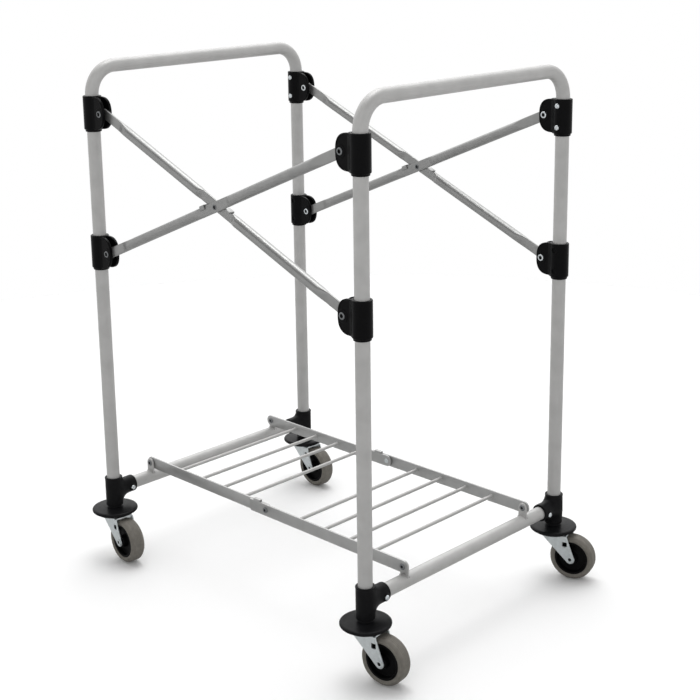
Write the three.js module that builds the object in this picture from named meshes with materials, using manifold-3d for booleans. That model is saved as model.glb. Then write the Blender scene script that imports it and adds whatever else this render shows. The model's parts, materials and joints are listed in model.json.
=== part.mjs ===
// Folding laundry cart: two tube end frames joined by two X braces, with a folding wire shelf and four
// swivel casters. Millimetres, +Z up. +X runs from the left end frame to the right one, which is the way
// the cart folds. +Y runs from the near side to the far side. The floor is z = 0.

import * as THREE from 'three';
import { mergeVertices } from 'three/addons/utils/BufferGeometryUtils.js';
import Module from 'manifold-3d';

const wasm = await Module();
wasm.setup();

// ---------------------------------------------------------------- driving dimensions

const HEIGHT = 864;                // floor to the top of the handles
const FRAME_SPACING = 608;         // between the two end frames, tube axis to tube axis
const LEG_SPACING = 456;           // between the two legs of one end frame, tube axis to tube axis
const TUBE_R = 11;                 // legs, handles and cross tubes
const TUBE_WALL = 1.5;
const BEND_R = 45;                 // centreline radius where a leg turns into the handle
const BEND_STEPS = 5;

const GAP = 0.3;                   // between two pieces that touch
const SLIDE_GAP = 0.6;             // between a leg and what is pushed over it
const PLAY = 0.5;                  // between a pin and the hole that turns on it

const CROSS_Z = 121;               // axis of the cross tube between the feet of one frame
const CROSS_END = 15;              // from the leg's axis to the cross tube's end

const CASTING_R = 14.5;            // sleeve and arm of the corner casting
const CASTING_BOTTOM = 93;
const CASTING_TOP = 144;
const CASTING_ARM = 40;            // from the leg's axis to the end of the arm
const CASTING_FLOOR = 6;           // under the leg's end
const SPIGOT_R = 8.9;              // inner boss that goes up inside the leg
const SPIGOT_TOP = 132;

const BUMPER_R = 39;
const BUMPER_BOTTOM = 82.3;        // underside of the bumper's edge
const BUMPER_RIM = 6.2;            // thickness of the bumper's edge
const BUMPER_SKIRT_R = 33;         // ring under the bumper that hides the caster's race
const BUMPER_SKIRT = 3.2;          // height of that ring
const BUMPER_HUB_R = 12.6;         // raised middle, under the casting
const BUMPER_HUB = 3;

const WHEEL_R = 37.5;
const WHEEL_HALF_WIDTH = 12.5;
const HUB_R = 26;
const HUB_BOSS_HALF = 14.5;
const TRAIL = 36;                  // from the swivel axis to the axle
const FORK_INNER = 15;             // half the space between the fork's legs
const FORK_PLATE = 2.5;
const FORK_TOP = 78.8;
const FORK_FRONT = -19;            // the crown's front edge, before the swivel axis
const FORK_BACK = -3;              // the crown's back edge, from the axle
const FORK_EYE_R = 7.6;            // round end of a fork leg, about the axle
const STEM_R = 5;
const STEM_TOP = 128;
const AXLE_R = 4;
const CASTER_ANGLES = {            // degrees that each caster has turned to, about +Z
  near_left: -5,
  near_right: 8,
  far_left: -3,
  far_right: 18,
};

const CLAMP_R = 15.1;              // sleeve of the clamps on the legs
const CLAMP_HALF = 27.5;           // half the sleeve's height
const CLAMP_COLLAR = 3.5;          // height of the narrow collar under the sleeve
const PIN_OFFSET = 30;             // from the leg's axis to the clamp's pin
const EAR_REACH = 39.5;            // from the leg's axis to the ears' ends
const EAR_OUTER = 9.6;             // half the width over both ears
const EAR_SLOT = 4.7;              // half the space between the ears
const EAR_SQUARENESS = 2.6;        // exponent of the superellipse round the ears
const EAR_STEPS = 10;
const UPPER_PIN_Z = 780;
const LOWER_PIN_Z = 548;

const PIN_R = 3;
const PIN_HEAD_R = 4.8;
const PIN_HEAD = 1.6;              // thickness of a pin's head
const RIVET_HEAD_R = 4.6;
const RIVET_HEAD = 0.8;            // thickness of a crossing rivet's head

const BRACE_TUBE_R = 8;
const BRACE_WALL = 1.2;
const BRACE_FLAT_HALF = 8.2;       // half the width of the flattened stretches
const BRACE_FLAT = 4;              // thickness of the flattened stretches
const BRACE_PLANE_GAP = 0.2;       // from the braces' common plane to each brace
const END_FLAT = 42;               // length of a flattened end, from its pin
const CENTRE_FLAT = 40;            // half the length of the flattened middle
const FLAT_LAP = 9;                // how far a flat reaches into its round tube
const STOP_AT = 27.5;              // from the centre rivet to the middle of a brace's stop tab
const STOP_LENGTH = 11;
const STOP_RISE = 2.2;             // height of a stop tab over its brace's edge
const STOP_THICK = 2;              // thickness of a stop tab's foot, on its brace's outer face
const STOP_FOOT = 3;               // from a brace's middle to the lower end of its stop tab's foot

const SHELF_PIN_Z = 145.5;
const SHELF_HALF_LENGTH = FRAME_SPACING / 2;
const BAR_HALF = 10;               // half the height of the shelf's flat bars
const BAR_THICK = 3;
const BAR_MID_Y = 145;             // plane between the left half's bars and the right half's
const BAR_PLAY = 0.25;             // from that plane to each bar
const LUG_GAP = 0.4;               // between a bar and the lug that carries it
const RIGHT_BAR_OVERRUN = 38;      // how far the right half's bars run past the centre pin
const SHELF_STOP_NEAR = 14;        // from the centre pin to the near end of the shelf's stop tab
const SHELF_STOP_FAR = 29;
const WIRE_R = 2.5;
const WIRE_COUNT = 4;              // in each half of the shelf
const WIRE_PITCH = 56;

const TUBE_SIDES = 12;             // facets round a tube, a pin hole and a wheel
const SIDES = 10;
const WHEEL_SIDES = 16;

// ---------------------------------------------------------------- materials

const powderCoat = new THREE.MeshStandardMaterial({ color: 0xb2b2af, roughness: 0.45, metalness: 0.35 });
const coatedSteel = new THREE.MeshStandardMaterial({ color: 0x9a9a97, roughness: 0.45, metalness: 0.45 });
const blackPlastic = new THREE.MeshStandardMaterial({ color: 0x161617, roughness: 0.5, metalness: 0 });
const zincPlate = new THREE.MeshStandardMaterial({ color: 0xc9ced0, roughness: 0.3, metalness: 0.85 });
const tyreRubber = new THREE.MeshStandardMaterial({ color: 0x76716a, roughness: 0.8, metalness: 0 });

// ---------------------------------------------------------------- solids

function solid(geometry) {
  const bare = geometry.clone();
  bare.deleteAttribute('normal');
  bare.deleteAttribute('uv');
  const merged = mergeVertices(bare, 1e-4);
  return new wasm.Manifold(new wasm.Mesh({
    numProp: 3,
    vertProperties: new Float32Array(merged.attributes.position.array),
    triVerts: new Uint32Array(merged.index.array),
  }));
}

function geometryOf(body) {
  const mesh = body.getMesh();
  const geometry = new THREE.BufferGeometry();
  geometry.setAttribute('position', new THREE.BufferAttribute(mesh.vertProperties, 3));
  geometry.setIndex(new THREE.BufferAttribute(mesh.triVerts, 1));
  return geometry;
}

function join(first, ...others) {
  return others.reduce((body, other) => body.add(other), first);
}

function cut(body, ...tools) {
  return tools.reduce((left, tool) => left.subtract(tool), body);
}

// A round bar along +Z, from z = low to z = high.
function uprightRod(radius, low, high, sides = SIDES) {
  const geometry = new THREE.CylinderGeometry(radius, radius, high - low, sides);
  geometry.rotateX(Math.PI / 2);
  return geometry.translate(0, 0, (low + high) / 2);
}

// A round bar along +Y, from y = low to y = high.
function crossRod(radius, low, high, sides = SIDES) {
  return new THREE.CylinderGeometry(radius, radius, high - low, sides).translate(0, (low + high) / 2, 0);
}

// A round bar along +X, from x = low to x = high.
function lengthRod(radius, low, high, sides = SIDES) {
  const geometry = new THREE.CylinderGeometry(radius, radius, high - low, sides);
  geometry.rotateZ(-Math.PI / 2);
  return geometry.translate((low + high) / 2, 0, 0);
}

function block(low, high) {
  const size = new THREE.Vector3().subVectors(high, low);
  const middle = new THREE.Vector3().addVectors(low, high).multiplyScalar(0.5);
  return new THREE.BoxGeometry(size.x, size.y, size.z).translate(middle.x, middle.y, middle.z);
}

// A flat plate whose outline lies in the XZ plane, from y = low to y = high.
function plate(outline, low, high, curveSegments = 3) {
  const geometry = new THREE.ExtrudeGeometry(outline, {
    depth: high - low,
    bevelEnabled: false,
    curveSegments,
  });
  geometry.rotateX(Math.PI / 2);
  return geometry.translate(0, high, 0);
}

// The outline of a flat bar along +X with both ends round.
function roundEnded(from, to, halfWidth) {
  const outline = new THREE.Shape();
  outline.moveTo(to, -halfWidth);
  outline.absarc(to, 0, halfWidth, -Math.PI / 2, Math.PI / 2);
  outline.lineTo(from, halfWidth);
  outline.absarc(from, 0, halfWidth, Math.PI / 2, 3 * Math.PI / 2);
  return outline;
}

// The outline of a ring, outer circle and hole.
function ring(outer, inner) {
  const outline = new THREE.Shape();
  outline.absarc(0, 0, outer, 0, 2 * Math.PI);
  const hole = new THREE.Path();
  hole.absarc(0, 0, inner, 0, 2 * Math.PI, true);
  outline.holes.push(hole);
  return outline;
}

// ---------------------------------------------------------------- end frames

// The route of an end frame's tube: up the near leg, over the handle and down the far leg. It has one
// knot at each end, and one at each step of a bend, so that the straight stretches need none.
class FrameRoute extends THREE.Curve {
  constructor() {
    super();
    this.knots = [];
    const half = LEG_SPACING / 2;
    const handleZ = HEIGHT - TUBE_R;
    const foot = CASTING_BOTTOM + CASTING_FLOOR + GAP;
    this.addKnot(-half, foot, 0);
    this.addBend(-half + BEND_R, handleZ - BEND_R, Math.PI, Math.PI / 2);
    this.addBend(half - BEND_R, handleZ - BEND_R, Math.PI / 2, 0);
    this.addKnot(half, foot, Math.PI);
  }

  // A knot at (y, z). The heading turns from straight up, 0, to straight down, half a turn.
  addKnot(y, z, heading) {
    const point = new THREE.Vector3(0, y, z);
    const tangent = new THREE.Vector3(0, Math.sin(heading), Math.cos(heading));
    this.knots.push({ point, tangent });
  }

  addBend(centreY, centreZ, from, to) {
    for (let step = 0; step <= BEND_STEPS; step += 1) {
      const angle = from + (to - from) * step / BEND_STEPS;
      const y = centreY + BEND_R * Math.cos(angle);
      const z = centreZ + BEND_R * Math.sin(angle);
      this.addKnot(y, z, Math.PI - angle);
    }
  }

  getPoint(t, target = new THREE.Vector3()) {
    return target.copy(this.knots[Math.round(t * (this.knots.length - 1))].point);
  }

  getSpacedPoints() {
    return this.knots.map((knot) => knot.point.clone());
  }

  getTangentAt(u, target = new THREE.Vector3()) {
    return target.copy(this.knots[Math.round(u * (this.knots.length - 1))].tangent);
  }
}

function endFrameTube() {
  const route = new FrameRoute();
  return new THREE.ExtrudeGeometry(ring(TUBE_R, TUBE_R - TUBE_WALL), {
    steps: route.knots.length - 1,
    extrudePath: route,
    bevelEnabled: false,
    curveSegments: TUBE_SIDES / 2,
  });
}

// The lug that stands on a cross tube and carries one bar of the shelf, centred on y = 0.
function shelfLug() {
  const rise = SHELF_PIN_Z - CROSS_Z;
  const outline = new THREE.Shape();
  outline.moveTo(BAR_HALF, 0);
  outline.lineTo(BAR_HALF, rise);
  outline.absarc(0, rise, BAR_HALF, 0, Math.PI);
  outline.lineTo(-BAR_HALF, 0);
  const lug = plate(outline, -BAR_THICK / 2, BAR_THICK / 2);
  const hole = crossRod(PIN_R + PLAY, -BAR_THICK, BAR_THICK).translate(0, 0, rise);
  return cut(solid(lug), solid(hole));
}

// A cross tube with its two welded lugs, its axis along Y at z = 0.
function crossTube(lugY) {
  const half = LEG_SPACING / 2 - CROSS_END;
  const outer = solid(crossRod(TUBE_R, -half, half, TUBE_SIDES));
  const bore = solid(crossRod(TUBE_R - TUBE_WALL, -half - 1, half + 1, TUBE_SIDES));
  const lugs = [-lugY, lugY].map((y) => shelfLug().translate([0, y, 0]));
  return geometryOf(cut(join(outer, ...lugs), bore));
}

// ---------------------------------------------------------------- corner castings and bumpers

// The web that ties the casting's arm to its sleeve, above and below the arm, centred on x = 0.
function castingWeb() {
  const armBottom = CROSS_Z - CASTING_R;
  const armTop = CROSS_Z + CASTING_R;
  const outline = new THREE.Shape();
  outline.moveTo(0, armBottom - 11);
  outline.lineTo(CASTING_R - 1, armBottom - 11);
  outline.lineTo(CASTING_R + 9, armBottom + 3);
  outline.lineTo(CASTING_ARM - 6, CROSS_Z);
  outline.lineTo(CASTING_R + 14, armTop - 1);
  outline.lineTo(CASTING_R - 1, CASTING_TOP - 1);
  outline.lineTo(0, CASTING_TOP - 1);
  const web = plate(outline, -6, 6);
  return web.rotateZ(Math.PI / 2);
}

// The corner casting: leg axis at the origin, arm toward +Y.
function cornerCasting() {
  const legBore = TUBE_R + SLIDE_GAP;
  const legFloor = CASTING_BOTTOM + CASTING_FLOOR;
  const sleeve = solid(uprightRod(CASTING_R, CASTING_BOTTOM, CASTING_TOP, TUBE_SIDES));
  const arm = solid(crossRod(CASTING_R, 0, CASTING_ARM, TUBE_SIDES).translate(0, 0, CROSS_Z));
  const body = join(sleeve, arm, solid(castingWeb()));
  const legHole = solid(uprightRod(legBore, legFloor, CASTING_TOP + 1, TUBE_SIDES));
  const armHole = solid(crossRod(legBore, CASTING_R + 0.1, CASTING_ARM + 1, TUBE_SIDES)
    .translate(0, 0, CROSS_Z));
  const spigot = solid(uprightRod(SPIGOT_R, legFloor - 1, SPIGOT_TOP, TUBE_SIDES));
  const stemHole = solid(uprightRod(STEM_R + PLAY, CASTING_BOTTOM - 1, SPIGOT_TOP + 1));
  return geometryOf(cut(join(cut(body, legHole, armHole), spigot), stemHole));
}

// The round bumper between a caster and its casting, with a raised hub that the casting stands on.
function bumperDisc() {
  const hubTop = CASTING_BOTTOM - GAP;
  const rimTop = BUMPER_BOTTOM + BUMPER_RIM;
  const hole = STEM_R + PLAY;
  const profile = [
    [hole, BUMPER_BOTTOM - BUMPER_SKIRT],
    [BUMPER_SKIRT_R, BUMPER_BOTTOM - BUMPER_SKIRT],
    [BUMPER_SKIRT_R, BUMPER_BOTTOM],
    [BUMPER_R - 1.5, BUMPER_BOTTOM],
    [BUMPER_R, BUMPER_BOTTOM + BUMPER_RIM / 2],
    [BUMPER_R - 2, rimTop],
    [BUMPER_HUB_R, hubTop - BUMPER_HUB],
    [BUMPER_HUB_R, hubTop],
    [hole, hubTop],
    [hole, BUMPER_BOTTOM - BUMPER_SKIRT],
  ];
  const points = profile.map(([r, z]) => new THREE.Vector2(r, z));
  const geometry = new THREE.LatheGeometry(points, WHEEL_SIDES);
  return geometryOf(solid(geometry.rotateX(Math.PI / 2)));
}

// ---------------------------------------------------------------- casters

// Everything in a caster is built round its swivel axis, with the wheel trailing toward +X.

function forkLegOutline() {
  const outline = new THREE.Shape();
  outline.moveTo(FORK_FRONT, FORK_TOP);
  outline.lineTo(FORK_FRONT, FORK_TOP - FORK_PLATE);
  outline.absarc(TRAIL, WHEEL_R, FORK_EYE_R, -2.4, 0.2);
  outline.lineTo(TRAIL + FORK_BACK, FORK_TOP);
  const hole = new THREE.Path();
  const holeX = TRAIL - 10;
  const holeZ = WHEEL_R + 27.5;
  const halfHole = 4;
  hole.moveTo(holeX - halfHole, holeZ - halfHole);
  hole.lineTo(holeX - halfHole, holeZ + halfHole);
  hole.lineTo(holeX + halfHole, holeZ + halfHole);
  hole.lineTo(holeX + halfHole, holeZ - halfHole);
  outline.holes.push(hole);
  return outline;
}

function forkWithStem() {
  const outer = FORK_INNER + FORK_PLATE;
  const legs = [-outer, FORK_INNER].map((y) => solid(plate(forkLegOutline(), y, y + FORK_PLATE)));
  const crown = solid(block(
    new THREE.Vector3(FORK_FRONT, -outer, FORK_TOP - FORK_PLATE),
    new THREE.Vector3(TRAIL + FORK_BACK, outer, FORK_TOP),
  ));
  const race = solid(uprightRod(21, FORK_TOP - FORK_PLATE, FORK_TOP));
  const stem = solid(uprightRod(STEM_R, FORK_TOP - 1, STEM_TOP));
  const axleHole = solid(crossRod(AXLE_R + GAP, -outer - 1, outer + 1).translate(TRAIL, 0, WHEEL_R));
  return geometryOf(cut(join(crown, race, stem, ...legs), axleHole));
}

// A body of revolution about its own Y axis, from a closed profile of [radius, y] pairs.
function turned(profile, sides) {
  const points = [...profile, profile[0]].map(([r, y]) => new THREE.Vector2(r, y));
  return geometryOf(solid(new THREE.LatheGeometry(points, sides)));
}

function wheelTyre() {
  const shoulder = 5;
  return turned([
    [HUB_R + 0.4, -WHEEL_HALF_WIDTH + 1.5],
    [WHEEL_R - shoulder, -WHEEL_HALF_WIDTH],
    [WHEEL_R, -WHEEL_HALF_WIDTH + shoulder],
    [WHEEL_R, WHEEL_HALF_WIDTH - shoulder],
    [WHEEL_R - shoulder, WHEEL_HALF_WIDTH],
    [HUB_R + 0.4, WHEEL_HALF_WIDTH - 1.5],
  ], WHEEL_SIDES);
}

function wheelHub() {
  const rim = WHEEL_HALF_WIDTH - 2;
  const web = 4;                     // half the thickness of the disc between boss and rim
  return turned([
    [AXLE_R + PLAY, -HUB_BOSS_HALF],
    [10, -HUB_BOSS_HALF],
    [12, -web],
    [HUB_R - 3, -web],
    [HUB_R, -rim],
    [HUB_R, rim],
    [HUB_R - 3, web],
    [12, web],
    [10, HUB_BOSS_HALF],
    [AXLE_R + PLAY, HUB_BOSS_HALF],
  ], WHEEL_SIDES);
}

// A pin along Y with a head at each end, its shank running from y = low to y = high under the heads.
function headedPin(shankR, headR, head, low, high, sides = 8) {
  const points = [
    [0, low - head],
    [headR * 0.8, low - head],
    [headR, low],
    [shankR, low],
    [shankR, high],
    [headR, high],
    [headR * 0.8, high + head],
    [0, high + head],
  ].map(([r, y]) => new THREE.Vector2(r, y));
  return geometryOf(solid(new THREE.LatheGeometry(points, sides)));
}

// ---------------------------------------------------------------- clamps

// The D-shaped outline of a clamp's ears, seen along Y, with the leg at x = 0. Its round side is half a
// superellipse, from below the sleeve's middle to above it.
function earOutline() {
  const top = CLAMP_HALF - 1;
  const reach = EAR_REACH - CLAMP_R;
  const outline = new THREE.Shape();
  outline.moveTo(0, -top);
  for (let step = 0; step <= EAR_STEPS; step += 1) {
    const angle = Math.PI * (step / EAR_STEPS - 0.5);
    const across = Math.abs(Math.cos(angle)) ** (2 / EAR_SQUARENESS);
    const up = Math.sign(Math.sin(angle)) * Math.abs(Math.sin(angle)) ** (2 / EAR_SQUARENESS);
    outline.lineTo(CLAMP_R + reach * across, top * up);
  }
  outline.lineTo(0, top);
  return outline;
}

// A clamp with its bore on the Z axis and its ears toward +X, its pin hole at z = 0.
function clevisClamp() {
  const bore = TUBE_R + SLIDE_GAP;
  const sleeve = solid(uprightRod(CLAMP_R, -CLAMP_HALF, CLAMP_HALF, TUBE_SIDES));
  const collar = solid(uprightRod(bore + 1.6, -CLAMP_HALF - CLAMP_COLLAR, 0, TUBE_SIDES));
  const ears = solid(plate(earOutline(), -EAR_OUTER, EAR_OUTER));
  const legHole = solid(uprightRod(bore, -2 * CLAMP_HALF, 2 * CLAMP_HALF, TUBE_SIDES));
  const slot = solid(block(
    new THREE.Vector3(CLAMP_R + 0.8, -EAR_SLOT, -2 * CLAMP_HALF),
    new THREE.Vector3(EAR_REACH + 2, EAR_SLOT, 2 * CLAMP_HALF),
  ));
  const pinHole = solid(crossRod(PIN_R + GAP, -EAR_OUTER - 1, EAR_OUTER + 1).translate(PIN_OFFSET, 0, 0));
  return geometryOf(cut(join(sleeve, collar, ears), legHole, slot, pinHole));
}

// ---------------------------------------------------------------- braces

const braceSpan = FRAME_SPACING - 2 * PIN_OFFSET;
const braceDrop = UPPER_PIN_Z - LOWER_PIN_Z;
const braceHalf = Math.hypot(braceSpan, braceDrop) / 2;
const braceAngle = Math.atan2(braceDrop, braceSpan);

// One round stretch of a brace, with an open bore, from x = from to x = to.
function braceTube(from, to) {
  const axisY = BRACE_PLANE_GAP + BRACE_FLAT / 2;
  const outer = solid(lengthRod(BRACE_TUBE_R, from, to).translate(0, axisY, 0));
  const bore = solid(lengthRod(BRACE_TUBE_R - BRACE_WALL, from - 1, to + 1).translate(0, axisY, 0));
  return cut(outer, bore);
}

// The bent tab that stops the cart from opening too far: its foot lies on the brace's outer face, and
// it reaches over the brace's upper edge and the common plane into the other brace's way.
function braceStopTab() {
  const low = STOP_AT - STOP_LENGTH / 2;
  const high = STOP_AT + STOP_LENGTH / 2;
  const top = BRACE_FLAT_HALF + STOP_RISE;
  const outer = BRACE_PLANE_GAP + BRACE_FLAT;
  const foot = block(
    new THREE.Vector3(low, outer - 1, STOP_FOOT),
    new THREE.Vector3(high, outer + STOP_THICK, top),
  );
  const shelf = block(
    new THREE.Vector3(low, -outer, BRACE_FLAT_HALF - 0.5),
    new THREE.Vector3(high, outer + STOP_THICK, top),
  );
  return join(solid(foot), solid(shelf));
}

// A brace along X with its centre rivet hole at the origin. It lies wholly on the +Y side of the
// braces' common plane, so that the two braces of a pair fold past each other.
function brace() {
  const low = BRACE_PLANE_GAP;
  const high = BRACE_PLANE_GAP + BRACE_FLAT;
  const flats = [
    roundEnded(-braceHalf, -braceHalf + END_FLAT, BRACE_FLAT_HALF),
    roundEnded(-CENTRE_FLAT, CENTRE_FLAT, BRACE_FLAT_HALF),
    roundEnded(braceHalf - END_FLAT, braceHalf, BRACE_FLAT_HALF),
  ].map((outline) => solid(plate(outline, low, high)));
  const tubeFrom = CENTRE_FLAT + BRACE_FLAT_HALF - FLAT_LAP;
  const tubeTo = braceHalf - END_FLAT - BRACE_FLAT_HALF + FLAT_LAP;
  const tubes = [braceTube(-tubeTo, -tubeFrom), braceTube(tubeFrom, tubeTo)];
  const holes = [-braceHalf, 0, braceHalf].map(
    (x) => solid(crossRod(PIN_R + PLAY, -1, high + 1).translate(x, 0, 0)),
  );
  return geometryOf(cut(join(...flats, ...tubes, braceStopTab()), ...holes));
}

// ---------------------------------------------------------------- shelf

// One half of the shelf, along +X from its end pin at the origin to the centre pin. The bars run on
// past the centre pin by overrun, and lie at the given distance either side of y = 0.
function shelfHalf(barY, overrun, extras) {
  const far = SHELF_HALF_LENGTH;
  const outline = new THREE.Shape();
  outline.moveTo(0, -BAR_HALF);
  if (overrun > BAR_HALF) {
    outline.lineTo(far + overrun - 3, -BAR_HALF);
    outline.lineTo(far + overrun, -BAR_HALF + 3);
    outline.lineTo(far + overrun, BAR_HALF);
  } else {
    outline.lineTo(far, -BAR_HALF);
    outline.absarc(far, 0, BAR_HALF, -Math.PI / 2, Math.PI / 2);
  }
  outline.lineTo(0, BAR_HALF);
  outline.absarc(0, 0, BAR_HALF, Math.PI / 2, 3 * Math.PI / 2);
  const bars = [-barY, barY].map(
    (y) => solid(plate(outline, y - BAR_THICK / 2, y + BAR_THICK / 2)),
  );
  const firstWire = (far - (WIRE_COUNT - 1) * WIRE_PITCH) / 2;
  const wires = [];
  for (let index = 0; index < WIRE_COUNT; index += 1) {
    const x = firstWire + index * WIRE_PITCH;
    wires.push(solid(crossRod(WIRE_R, -barY, barY, 8).translate(x, 0, 0)));
  }
  const pinHoles = [0, far].map((x) => solid(
    crossRod(PIN_R + PLAY, -barY - BAR_THICK, barY + BAR_THICK).translate(x, 0, 0),
  ));
  return geometryOf(cut(join(...bars, ...wires, ...extras), ...pinHoles));
}

// The tabs on the right half that come down on the left half's bars when the shelf lies flat.
function shelfStopTabs(barY) {
  const outer = barY + BAR_THICK / 2;
  const inner = outer - BAR_THICK - 2 * BAR_PLAY - BAR_THICK;
  const low = BAR_HALF + 0.4;
  const near = SHELF_HALF_LENGTH + SHELF_STOP_NEAR;
  const far = SHELF_HALF_LENGTH + SHELF_STOP_FAR;
  const tabs = [];
  for (const side of [-1, 1]) {
    const ys = (a, b) => [Math.min(side * a, side * b), Math.max(side * a, side * b)];
    const [footLow, footHigh] = ys(outer - BAR_THICK, outer);
    const [topLow, topHigh] = ys(inner, outer);
    const foot = block(new THREE.Vector3(near, footLow, 0), new THREE.Vector3(far, footHigh, low + 1));
    const top = block(new THREE.Vector3(near, topLow, low), new THREE.Vector3(far, topHigh, low + 3));
    tabs.push(solid(foot).add(solid(top)));
  }
  return tabs;
}

// ---------------------------------------------------------------- assembly

const cart = new THREE.Group();

function add(name, geometry, material, parent = cart) {
  const mesh = new THREE.Mesh(geometry, material);
  mesh.name = name;
  parent.add(mesh);
  return mesh;
}

const ends = { left: -1, right: 1 };
const sides = { near: -1, far: 1 };
const endX = FRAME_SPACING / 2;
const legY = LEG_SPACING / 2;
const leftBarY = BAR_MID_Y - BAR_PLAY - BAR_THICK / 2;
const rightBarY = BAR_MID_Y + BAR_PLAY + BAR_THICK / 2;
const lugStep = BAR_THICK + LUG_GAP;
const lugY = { left: leftBarY + lugStep, right: rightBarY - lugStep };

const castingGeometry = cornerCasting();
const bumperGeometry = bumperDisc();
const forkGeometry = forkWithStem();
const tyreGeometry = wheelTyre();
const hubGeometry = wheelHub();
const forkOuter = FORK_INNER + FORK_PLATE;
const axleGeometry = headedPin(AXLE_R, 5.8, 1.6, -forkOuter - GAP, forkOuter + GAP, 10);
const clampGeometry = clevisClamp();
const clampPinGeometry = headedPin(PIN_R, PIN_HEAD_R, PIN_HEAD, -EAR_OUTER - GAP, EAR_OUTER + GAP);
const braceGeometry = brace();
const braceOuter = BRACE_PLANE_GAP + BRACE_FLAT + GAP;
const rivetGeometry = headedPin(PIN_R, RIVET_HEAD_R, RIVET_HEAD, -braceOuter, braceOuter, 10);

function addCaster(corner, x, y) {
  const caster = new THREE.Group();
  caster.position.set(x, y, 0);
  caster.rotation.z = THREE.MathUtils.degToRad(CASTER_ANGLES[corner]);
  cart.add(caster);
  add(`caster_fork_${corner}`, forkGeometry, zincPlate, caster);
  for (const [name, geometry, material] of [
    ['wheel_tyre', tyreGeometry, tyreRubber],
    ['wheel_hub', hubGeometry, blackPlastic],
    ['wheel_axle', axleGeometry, zincPlate],
  ]) {
    add(`${name}_${corner}`, geometry, material, caster).position.set(TRAIL, 0, WHEEL_R);
  }
}

function addCorner(corner, side, x, y) {
  const casting = add(`corner_casting_${corner}`, castingGeometry, blackPlastic);
  casting.position.set(x, y, 0);
  casting.rotation.z = side > 0 ? Math.PI : 0;
  add(`bumper_${corner}`, bumperGeometry, blackPlastic).position.set(x, y, 0);
  addCaster(corner, x, y);
}

function addClamp(level, z, corner, end, x, y) {
  const clamp = add(`${level}_clamp_${corner}`, clampGeometry, blackPlastic);
  clamp.position.set(x, y, z);
  clamp.rotation.z = end > 0 ? Math.PI : 0;
  const pin = add(`${level}_clamp_pin_${corner}`, clampPinGeometry, zincPlate);
  pin.position.set(x - end * PIN_OFFSET, y, z);
}

for (const [endName, end] of Object.entries(ends)) {
  const x = end * endX;
  add(`end_frame_tube_${endName}`, endFrameTube(), powderCoat).position.x = x;
  const cross = add(`cross_tube_${endName}`, crossTube(lugY[endName]), powderCoat);
  cross.position.set(x, 0, CROSS_Z);
  for (const [sideName, side] of Object.entries(sides)) {
    const corner = `${sideName}_${endName}`;
    const y = side * legY;
    addCorner(corner, side, x, y);
    addClamp('upper', UPPER_PIN_Z, corner, end, x, y);
    addClamp('lower', LOWER_PIN_Z, corner, end, x, y);
    // The shelf's end pin goes through the lug and the bar beside it.
    const barMiddle = endName === 'left' ? leftBarY : rightBarY;
    const middle = (barMiddle + lugY[endName]) / 2;
    const reach = Math.abs(barMiddle - lugY[endName]) / 2 + BAR_THICK / 2 + GAP;
    const pinGeometry = headedPin(PIN_R, 5.2, PIN_HEAD, -reach, reach);
    add(`shelf_end_pin_${corner}`, pinGeometry, zincPlate).position.set(x, side * middle, SHELF_PIN_Z);
  }
}

// On each side, the falling brace runs from the upper left pin to the lower right one, and the rising
// brace crosses it on its near side.
for (const [sideName, side] of Object.entries(sides)) {
  const y = side * legY;
  const middleZ = (UPPER_PIN_Z + LOWER_PIN_Z) / 2;
  const falling = add(`falling_brace_${sideName}`, braceGeometry, coatedSteel);
  falling.position.set(0, y, middleZ);
  falling.rotation.set(0, braceAngle, 0);
  const rising = add(`rising_brace_${sideName}`, braceGeometry, coatedSteel);
  rising.position.set(0, y, middleZ);
  rising.rotation.set(0, -braceAngle, Math.PI);
  add(`brace_rivet_${sideName}`, rivetGeometry, zincPlate).position.set(0, y, middleZ);
}

const leftShelf = add('shelf_half_left', shelfHalf(leftBarY, 0, []), coatedSteel);
leftShelf.position.set(-endX, 0, SHELF_PIN_Z);
// The right half is turned end for end, so that its stop tabs still point up.
const rightShelf = add(
  'shelf_half_right',
  shelfHalf(rightBarY, RIGHT_BAR_OVERRUN, shelfStopTabs(rightBarY)),
  coatedSteel,
);
rightShelf.position.set(endX, 0, SHELF_PIN_Z);
rightShelf.rotation.z = Math.PI;

// The centre pins are held in the right half's bars, flush with the plane between the two halves.
for (const [sideName, side] of Object.entries(sides)) {
  const half = BAR_THICK / 2;
  const points = [
    [0, -half],
    [PIN_R, -half],
    [PIN_R, half + GAP],
    [5.2, half + GAP],
    [4.6, half + GAP + PIN_HEAD],
    [0, half + GAP + PIN_HEAD],
  ].map(([r, y]) => new THREE.Vector2(r, y));
  const pin = add(
    `shelf_centre_pin_${sideName}`,
    geometryOf(solid(new THREE.LatheGeometry(points, 8))),
    zincPlate,
  );
  pin.position.set(0, side * rightBarY, SHELF_PIN_Z);
  pin.rotation.z = side > 0 ? 0 : Math.PI;
}

// The origin is on the floor, under the middle of the whole cart with its casters turned as they stand.
cart.updateMatrixWorld(true);
const middle = new THREE.Box3().setFromObject(cart, true).getCenter(new THREE.Vector3());
cart.position.set(-middle.x, -middle.y, 0);

export default cart;
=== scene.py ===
import itertools
import json
import math

import bpy
import numpy as np
from mathutils import Matrix, Vector

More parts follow.
